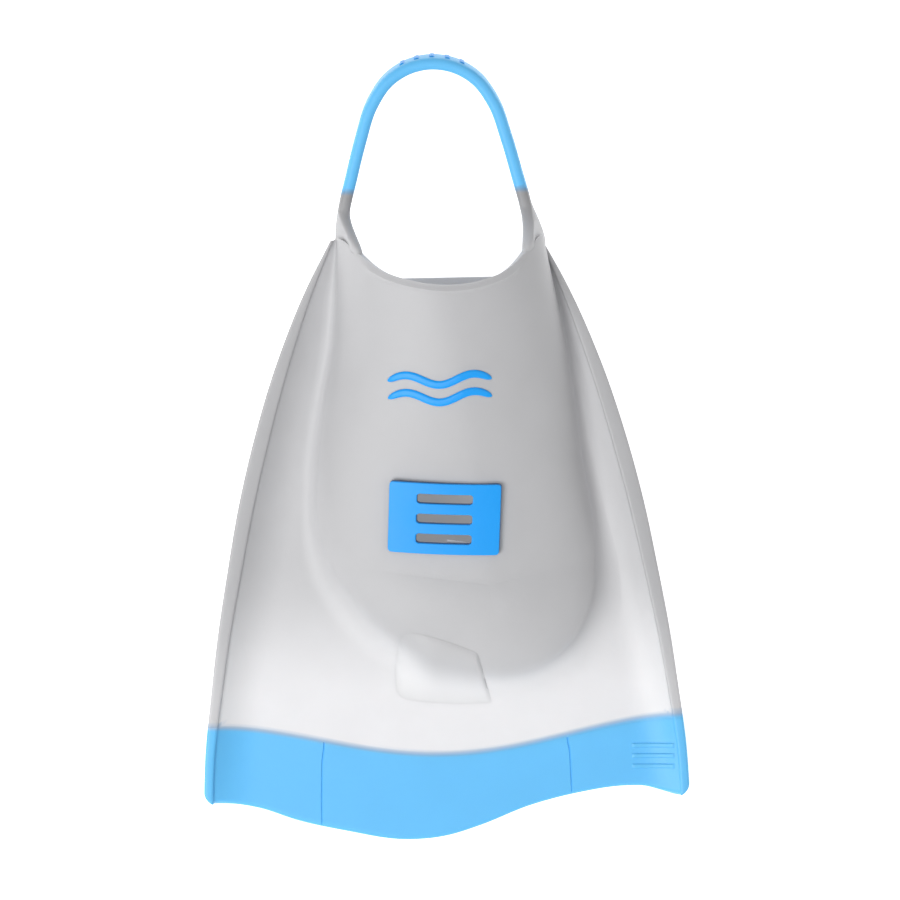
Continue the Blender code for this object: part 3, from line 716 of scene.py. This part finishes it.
def sole():
    """The sole, with shallow cross grooves underneath and a softened lower edge."""
    rows = [SOLE_TOE_Y + (SOLE_END_Y - SOLE_TOE_Y) * k / 240 for k in range(241)]
    columns = 28
    top, low = [], []
    for y in rows:
        ends = [pocket_loop(outline_at(y, side))[0] for side in (-1, 1)]
        row_top, row_low = [], []
        for j in range(columns + 1):
            u = 2 * j / columns - 1
            middle, half = (ends[0] + ends[1]) / 2, (ends[1] - ends[0]) / 2
            x = middle + half * u
            edge = min(half * (1 - abs(u)), y - SOLE_TOE_Y, SOLE_END_Y - y) / SOLE_ROUND
            lift = SOLE_LIFT * (1 - math.sqrt(max(1 - max(1 - edge, 0) ** 2, 0))) if edge < 1 else 0.0
            wave = math.sin((y + TREAD_BOW * math.cos(x / TREAD_SPAN)) / TREAD_PITCH * 2 * math.pi)
            tread = TREAD_DEPTH * eased(0.72, 0.92, wave) * eased(3 * MM, 6 * MM, half * (1 - abs(u)))
            row_top.append(Vector((x, y, sole_high.z)))
            row_low.append(Vector((x, y, sole_low.z + max(lift, tread))))
        top.append(row_top)
        low.append(row_low)
    # Painted light: the sole's top, inside the pocket, is marked to glow faintly.
    made = sheet("sole_white", top, low, WHITE, ("sole",), glow=range(len(top) * len(top[0])))
    finish_on(made, "foot_pocket")


# --- Rails and tip ------------------------------------------------------------------------------------

def rail_loop(y, side, outer):
    inner = rail_inside(y)
    low, high = rail_bottom(y), rail_top(y)
    radius = min(RAIL_ROUND, 0.42 * (outer - inner), 0.42 * (high - low))
    return [Vector((side * x, y, z)) for x, z in rounded_box((inner, low), (outer, high), radius)]


def rails():
    """Each rail is white as far as the colour line and blue beyond it."""
    for side, hand in ((-1, "left"), (1, "right")):
        seam = colour_edge(rail_x(blade_low.y))
        places = np.linspace(100 * MM, seam, 84)
        places = np.concatenate([places[:-1], np.linspace(seam + RAIL_LAP, seam, 2)])
        # Painted shade: the white part of each rail is made greyer than the moulding.
        white = tube(
            f"rail_{hand}_white", [rail_loop(y, side, rail_x(y)) for y in places], WHITE,
            (f"rail_{hand}_root", f"rail_{hand}_mid"), tint=blade_tint, milk_share=RAIL_PAINTED_SHADE,
        )
        finish_on(white, "foot_pocket", "blade", **POCKET_TO_BLADE)
        centre = RAIL_END_Y + TIP_CORNER
        loops = [rail_loop(y, side, rail_x(y)) for y in np.linspace(seam, seam - 4 * MM, 6)]
        loops += [rail_loop(y, side, rail_x(y)) for y in np.linspace(seam - 5 * MM, centre, 20)]
        for k in range(1, 9):
            angle = TIP_ARC * k / 8
            y = centre - TIP_CORNER * math.sin(angle)
            loops.append(rail_loop(y, side, rail_x(centre) - TIP_CORNER * (1 - math.cos(angle))))
        blue = tube(f"rail_{hand}_blue", loops, BLUE, (f"rail_{hand}_tip",), tint=blade_tint)
        finish_on(blue, "blade", "blade_tip", **BLADE_TO_TIP)


def tip():
    """The blue tip, with a flex groove each side and a rounded front edge."""
    reach = abs(edge_corner(1)) + EMBED
    across = list(np.linspace(-1, 1, 121) * reach)
    for side in (-1, 1):
        for step in (-1.0, -0.92, 0, 0.92, 1.0):
            across.append(side * GROOVE_X + step * GROOVE_HALF)
    across = sorted(across)
    rows = [0.0, 0.02, 0.04, 0.07, 0.1] + list(np.linspace(0.14, 0.93, 22))
    top, low = [], []
    for share in rows:
        row_top, row_low = [], []
        for x in across:
            y = colour_edge(x) + (tip_edge(x) - colour_edge(x)) * share
            wide = x * (1 + ((rail_inside(y) + EMBED) / reach - 1) * eased(0, 0.25, share))
            groove = GROOVE_DEPTH * max(1 - (abs(abs(x) - GROOVE_X) / GROOVE_HALF) ** 2, 0) ** 0.5
            groove = groove if abs(abs(x) - GROOVE_X) < GROOVE_HALF else 0.0
            row_top.append(Vector((wide, y, blade_top(wide, y) - groove)))
            row_low.append(Vector((wide, y, blade_under(wide, y))))
        top.append(row_top)
        low.append(row_low)
    last_top, last_low = top[-1], low[-1]
    for k in range(1, 8):
        angle = math.pi / 2 * k / 7
        row_top, row_low = [], []
        for a, b, x in zip(last_top, last_low, across):
            y = a.y + (tip_edge(x) - a.y) * math.sin(angle)
            wide = x * (rail_inside(y) + EMBED) / reach
            middle = (a.z + b.z) / 2
            half = (a.z - b.z) / 2 * max(math.cos(angle), 0.08)
            row_top.append(Vector((wide, y, middle + half)))
            row_low.append(Vector((wide, y, middle - half)))
        top.append(row_top)
        low.append(row_low)
    nodes = ("tip_left_panel", "tip_centre_panel", "tip_right_panel")
    return sheet("tip_blue", top, low, BLUE, nodes, tint=blade_tint)


# --- Strap ----------------------------------------------------------------------------------------------

def strap_place(length):
    middle = Vector(strap_loop(length))
    ahead = Vector(strap_loop(length + MM / 2)) - Vector(strap_loop(length - MM / 2))
    return middle, Vector((-ahead.y, ahead.x)).normalized()


def strap_at(y, side):
    end = 0.0 if side < 0 else strap_length[-1]
    return place_at(strap_loop, end, strap_length[len(STRAP_LINE) - 1], y)


def raised(p, up):
    """A point of the flat strap, up from its middle line, with the strap raised towards the heel."""
    y = STRAP_Y + (p.y - STRAP_Y) * math.cos(STRAP_RISE) - up * math.sin(STRAP_RISE)
    z = STRAP_Z + (p.y - STRAP_Y) * math.sin(STRAP_RISE) + up * math.cos(STRAP_RISE)
    return Vector((p.x, y, z))


def strap_loop_at(length):
    """A closed loop round the strap."""
    middle, outward = strap_place(length)
    loop = rounded_box(*STRAP_SECTION, STRAP_ROUND)
    return [raised(middle + outward * across, up) for across, up in loop]


def wall_line(station, inner):
    """The pocket's wall at the lip, outside or inside, from below the web up to where an arm's top starts."""
    base, wall, top = station[:3]
    line = dome(station, 80, inner)[::-1]
    foot = line[0]
    if inner:
        base = base + (top.xy - wall).normalized() * WALL
    share = (foot.z - ARM_FOOT_Z) / (foot.z - RIM_Z)
    line = [foot.lerp(Vector((*base, RIM_Z)), share)] + [
        p for p in line if (p.x - foot.x) / (top.x - foot.x) < ARM_ROOT_SHARE
    ]
    lengths = np.concatenate([[0], np.cumsum([(b - a).length for a, b in zip(line, line[1:])])])
    table = np.array([tuple(p) for p in line])

    def read(fraction):
        return Vector([np.interp(fraction * lengths[-1], lengths, table[:, k]) for k in range(3)])

    return read


def arm_loops(side, steps=30):
    """An arm, which grows out of the lip and takes the band's section on its way to the blue."""
    station = stations(side)[0]
    outer, inner = wall_line(station, False), wall_line(station, True)
    low, high = STRAP_SECTION
    root = []
    for across, up in rounded_box(*STRAP_SECTION, STRAP_ROUND):
        up_share = (up - low[1]) / (high[1] - low[1])
        out_share = (1 + ROOT_SINK + ROOT_PROUD) * (across - low[0]) / (high[0] - low[0]) - ROOT_SINK
        root.append(inner(up_share).lerp(outer(up_share), out_share))
    ahead = Vector((0, math.cos(STRAP_RISE), math.sin(STRAP_RISE)))
    loops = [[p - ahead * ARM_SUNK for p in root]]
    for k in range(steps + 1):
        share = k / steps
        y = ARM_START_Y + (ARM_END_Y - ARM_START_Y) * share
        band = strap_loop_at(strap_at(y, side))
        ease = eased(0, 0.75, share)
        loops.append([(p + ahead * (y - ARM_START_Y)).lerp(q, ease) for p, q in zip(root, band)])
    return loops


def strap():
    for side, hand in ((-1, "left"), (1, "right")):
        arm = tube(f"strap_arm_{hand}_white", arm_loops(side), WHITE, (f"strap_arm_{hand}",), tint=strap_tint)
        finish_on(arm, "foot_pocket", "strap_arms", **POCKET_TO_ARMS)
    start, end = strap_at(ARM_END_Y, -1), strap_at(ARM_END_Y, 1)
    loops = []
    near = [0.0, 0.0025, 0.005, 0.008, 0.012]
    for share in near + list(np.linspace(0.02, 0.98, 90)) + [1 - s for s in reversed(near)]:
        loops.append(strap_loop_at(start + (end - start) * share))
    band = tube("strap_band_blue", loops, BLUE, ("strap_band",), tint=strap_tint)
    finish_on(band, "strap_arms", "heel_band", **ARMS_TO_BAND)


# --- Raised marks and the vent plate ----------------------------------------------------------------------

def rib(name, rows, thick, look, nodes):
    """A rounded rib. Each row holds (place, outward direction) pairs across the rib."""
    front, back = [], []
    last = len(rows) - 1
    for i, row in enumerate(rows):
        along = abs(2 * i / last - 1)
        crown = math.sqrt(max(1 - max((along - RIB_END) / (1 - RIB_END), 0) ** 2, 0.02))
        row_front, row_back = [], []
        for j, (place, outward) in enumerate(row):
            across = abs(2 * j / (len(row) - 1) - 1)
            rise = thick * crown * math.sqrt(max(1 - across**4, 0.05))
            row_front.append(place + outward * rise)
            row_back.append(place - outward * RIB_SINK)
        front.append(row_front)
        back.append(row_back)
    return sheet(name, front, back, look, nodes)


def wave_marks(surface):
    for k in range(WAVES):
        middle = WAVE_CENTRE + Vector((0, (k - (WAVES - 1) / 2) * WAVE_PITCH))
        turns = 2 * math.pi * WAVE_CYCLES
        rows = []
        for i in range(73):
            share = i / 72
            x = (share - 0.5) * WAVE_LENGTH
            y = WAVE_HEIGHT * math.sin(turns * share)
            slope = turns * WAVE_HEIGHT / WAVE_LENGTH * math.cos(turns * share)
            normal = Vector((-slope, 1)).normalized()
            half = WAVE_WIDTH / 2 * math.sqrt(max(1 - (2 * share - 1) ** 10, 0.03))
            row = []
            for j in range(9):
                p = middle + Vector((x, y)) + normal * half * (j / 4 - 1)
                row.append(surface(*p))
            rows.append(row)
        mark = rib(f"wave_mark_{k + 1}_blue", rows, MARK_THICK, DEEP, (f"wave_mark_{k + 1}",))
        finish_on(mark, "foot_pocket")


def heel_bars():
    apex = strap_length[-1] / 2
    for k in range(HEEL_BARS):
        shift = (k - (HEEL_BARS - 1) / 2) * HEEL_BAR_PITCH
        rows = []
        for i in range(25):
            up = (i / 24 - 0.5) * HEEL_BAR_LENGTH
            row = []
            for j in range(9):
                place, outward = strap_place(apex + shift + (j / 8 - 0.5) * BAR_WIDTH)
                here = raised(place + outward * STRAP_THICK / 2, up)
                row.append((here, (raised(place + outward, up) - raised(place, up)).normalized()))
            rows.append(row)
        bar = rib(f"heel_grip_bar_{k + 1}_blue", rows, BAR_THICK, DEEP, (f"heel_grip_bar_{k + 1}",))
        finish_on(bar, "heel_band")


def tip_bars(surface):
    for k in range(TIP_BARS):
        y = TIP_BAR_CENTRE.y + (k - (TIP_BARS - 1) / 2) * TIP_BAR_PITCH
        rows = []
        for i in range(33):
            x = TIP_BAR_CENTRE.x + (i / 32 - 0.5) * TIP_BAR_LENGTH
            rows.append([surface(x, y + (j / 8 - 0.5) * BAR_WIDTH) for j in range(9)])
        bar = rib(f"tip_grip_bar_{k + 1}_blue", rows, BAR_THICK, BLUE, (f"tip_grip_bar_{k + 1}",))
        for value in bar.data.attributes["tint"].data:
            value.value = 1.0
        finish_on(bar, "blade", "blade_tip", **BLADE_TO_TIP)


def vent_plate(surface):
    """The plate over the toes, with rounded corners, sloping walls and three slots."""
    half = Vector(VENT_SIZE) / 2
    slot_x, slot_y = SLOT_SIZE[0] / 2, SLOT_SIZE[1] / 2
    across = np.concatenate([np.linspace(-half.x, half.x, 45), [-slot_x, slot_x]])
    columns = sorted(set(np.round(across, 6)))
    slots = [(k - (SLOTS - 1) / 2) * SLOT_PITCH for k in range(SLOTS)]
    lines = sorted([-half.y, half.y] + [middle + edge * slot_y for middle in slots for edge in (-1, 1)])
    slot_corners = {}
    for middle in slots:
        for edge in (-1, 1):
            for end in (-1, 1):
                slot_corners[round(end * slot_x, 6), round(middle + edge * slot_y, 6)] = -edge
    rows = []
    for a, b in zip(lines, lines[1:]):
        rows += list(np.linspace(a, b, 6)[:-1])
    rows.append(half.y)
    skip = []
    for i in range(len(rows) - 1):
        y = (rows[i] + rows[i + 1]) / 2
        near = min(abs(y - middle) for middle in slots)
        for j in range(len(columns) - 1):
            x = (columns[j] + columns[j + 1]) / 2
            if near < slot_y and abs(x) < slot_x:
                skip.append((i, j))
    turn = Matrix.Rotation(VENT_TURN, 2)

    def cornered(x, y):
        """The place with the plate's outer corners rounded."""
        inner = half - Vector((VENT_CORNER, VENT_CORNER))
        centre = Vector((math.copysign(inner.x, x), math.copysign(inner.y, y)))
        away = Vector((x, y)) - centre
        if away.x * x > 0 and away.y * y > 0 and away.length > 0:
            away *= max(abs(away.x), abs(away.y)) / away.length
            return centre + away
        return Vector((x, y))

    front, back = [], []
    for y in rows:
        row_front, row_back = [], []
        for x in columns:
            local = cornered(x, y)
            inwards = slot_corners.get((round(x, 6), round(y, 6)))
            if inwards:
                local += Vector((-math.copysign(SLOT_CORNER, x), SLOT_CORNER * inwards))
            local.y -= VENT_BOW * (1 - (local.x / half.x) ** 2)
            place = VENT_CENTRE + turn @ local
            hit, _ = surface(*place)
            top = VENT_CENTRE + turn @ (local - VENT_LEAN)
            row_front.append(Vector((*top, hit.z + VENT_THICK)))
            row_back.append(Vector((*place, hit.z - VENT_SINK)))
        front.append(row_front)
        back.append(row_back)

    # Painted shade: everything but the plate's top gets the dark wall colour.
    def on_top(p):
        return float(p.z > surface(p.x, p.y)[0].z + VENT_THICK / 2)

    made = sheet("vent_plate_blue", front, back, DEEP, ("vent_plate",), skip=skip, sharp=50, tint=on_top)
    bevel = made.modifiers.new("soft_edges", "BEVEL")
    bevel.width = VENT_EDGE
    bevel.segments = 3
    bevel.limit_method = "ANGLE"
    bevel.angle_limit = math.radians(50)
    finish_on(made, "foot_pocket")


def over_window(x, y):
    """The upper's outer surface, and up, as if the window were not cut."""
    side = -1 if x < crest_x(y) else 1
    edge_x = pocket_loop(outline_at(y, side))[0]
    top = crest_point(y)
    fullness = FULLNESS[side]
    inward = min(max((x - edge_x) / (top.x - edge_x), 0.0), 1.0)
    upward = max(1 - (1 - inward) ** fullness, 0.0) ** (1 / fullness)
    foot = web_top(y)
    return Vector((x, y, foot + (top.z - foot) * upward)), Vector((0, 0, 1))


skin = moulding()
top_of_skin = surface_of(skin)
ramp = toe_ramp(top_of_skin)
vent_plate(over_window)
wave_marks(top_of_skin)
finish_on(skin, "foot_pocket", "blade", **POCKET_TO_BLADE)
finish_on(ramp, "foot_pocket", "blade", **POCKET_TO_BLADE)
sole()
rails()
tip_piece = tip()
tip_bars(surface_of(tip_piece))
finish_on(tip_piece, "blade", "blade_tip", **BLADE_TO_TIP)
strap()
heel_bars()


# --- Studio -------------------------------------------------------------------------------------------

def studio():
    world = bpy.data.worlds.new("studio")
    bpy.context.scene.world = world
    world.use_nodes = True
    world.node_tree.nodes["Background"].inputs["Color"].default_value = (1, 1, 1, 1)
    world.node_tree.nodes["Background"].inputs["Strength"].default_value = 0.42

    bpy.ops.mesh.primitive_plane_add(size=8, location=(0, 0, -0.0002))
    floor = bpy.context.object
    floor.name = "floor"
    paper = bpy.data.materials.new("paper")
    paper.use_nodes = True
    shader = paper.node_tree.nodes["Principled BSDF"]
    shader.inputs["Base Color"].default_value = (0.9, 0.9, 0.9, 1)
    shader.inputs["Roughness"].default_value = 0.9
    shader.inputs["Specular IOR Level"].default_value = 0.1
    shader.inputs["Emission Color"].default_value = (1, 1, 1, 1)
    shader.inputs["Emission Strength"].default_value = 0.75
    floor.data.materials.append(paper)

    for name, place, size, power in (
        ("key", (-1.08, -0.75, 1.62), 1.2, 27.5),
        ("fill", (0.9, 0.1, 1.9), 1.8, 5.0),
    ):
        data = bpy.data.lights.new(name, "AREA")
        data.size = size
        data.energy = power
        lamp = bpy.data.objects.new(name, data)
        bpy.context.scene.collection.objects.link(lamp)
        lamp.location = place
        lamp.rotation_euler = (Vector((0, 0, 0.03)) - Vector(place)).to_track_quat("-Z", "Y").to_euler()

    data = bpy.data.cameras.new("camera")
    data.sensor_width = 36
    data.lens = 133.3
    data.clip_start = 0.05
    camera = bpy.data.objects.new("camera", data)
    bpy.context.scene.collection.objects.link(camera)
    camera.location = (0.00475, 0.0015, 1.6)
    camera.rotation_euler = (0, 0, math.radians(-1.15))
    bpy.context.scene.camera = camera
    bpy.context.scene.view_settings.view_transform = "Standard"
    bpy.context.scene.view_settings.look = "None"


studio()
